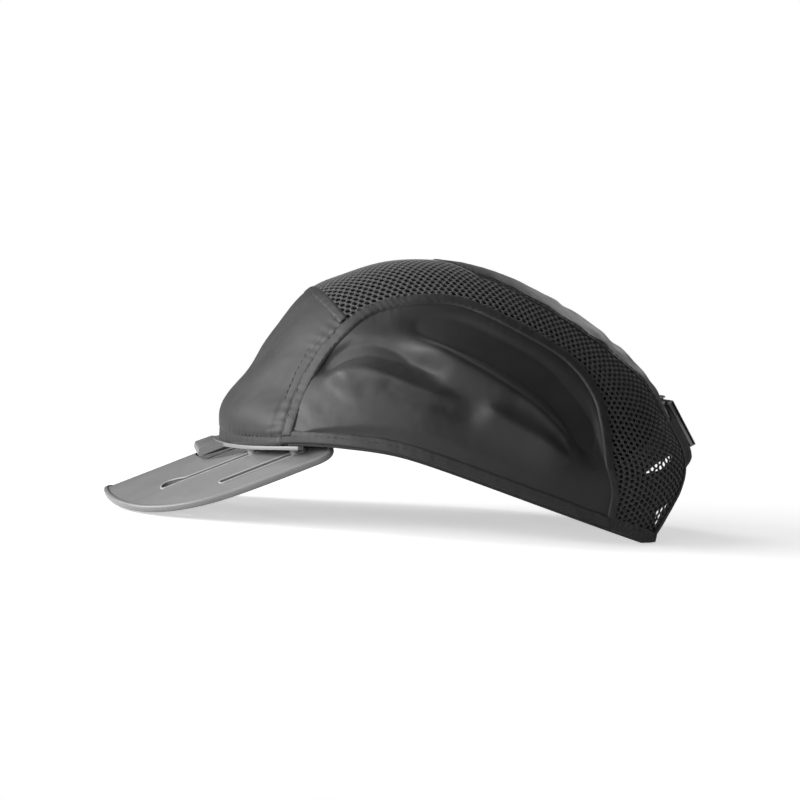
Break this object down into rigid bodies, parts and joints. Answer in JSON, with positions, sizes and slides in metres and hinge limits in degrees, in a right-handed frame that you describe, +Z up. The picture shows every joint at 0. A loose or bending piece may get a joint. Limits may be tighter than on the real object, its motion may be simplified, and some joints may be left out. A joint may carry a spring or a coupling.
{
  "type": "bump cap",
  "caption": "Soft bump cap with a hard inner shell, side bands of open mesh, a short sliding peak and a rear strap with a cam-lever buckle.",
  "frame": {"origin": "middle of the cap's box in X and Y, on the surface that it stands on", "axes": "+Z up, -Y the way the peak points, +X the wearer's left"},
  "size_m": [0.1766, 0.2924, 0.1284],
  "materials": {
    "satin": "satin-woven polyester, charcoal",
    "mesh": "open spacer mesh, near black",
    "webbing": "woven webbing and binding, black",
    "shell": "moulded hard shell, black",
    "foam": "cloth-faced foam padding, dark grey",
    "peak": "moulded plastic, mid grey, fine satin grain",
    "metal": "brushed, satin"
  },
  "bodies": {
    "crown": {"front_panel": "satin", "centre_panel": "satin", "left_side_panel": "satin", "right_side_panel": "satin", "left_side_tape": "satin", "right_side_tape": "satin", "mesh_panel": "mesh", "front_seam_tape": "mesh", "rear_arch_binding": "webbing", "left_hem_binding": "webbing", "right_hem_binding": "webbing", "left_strap": "webbing", "right_strap": "webbing", "hard_shell": "shell", "crown_pad": "foam", "rear_pad": "foam", "brow_pad": "foam", "left_side_pad": "foam", "right_side_pad": "foam", "peak_carrier": "peak", "left_inner_guide_pin": "peak", "left_outer_guide_pin": "peak", "right_inner_guide_pin": "peak", "right_outer_guide_pin": "peak", "buckle_base": "metal", "buckle_hinge_pin": "metal"},
    "peak": {"peak_plate": "peak"},
    "lever": {"buckle_lever": "metal"}
  },
  "joints": [
    {"name": "peak_slide", "type": "slide", "parent": "crown", "child": "peak", "axis": [0, 0.9063, 0.4226], "range_m": [0, 0.02]},
    {"name": "buckle_lever_hinge", "type": "hinge", "parent": "crown", "child": "lever", "pos_m": [-0.009, 0.13717, 0.05675], "axis": [0, -0.5373, 0.8434], "range_deg": [0, 100]}
  ]
}
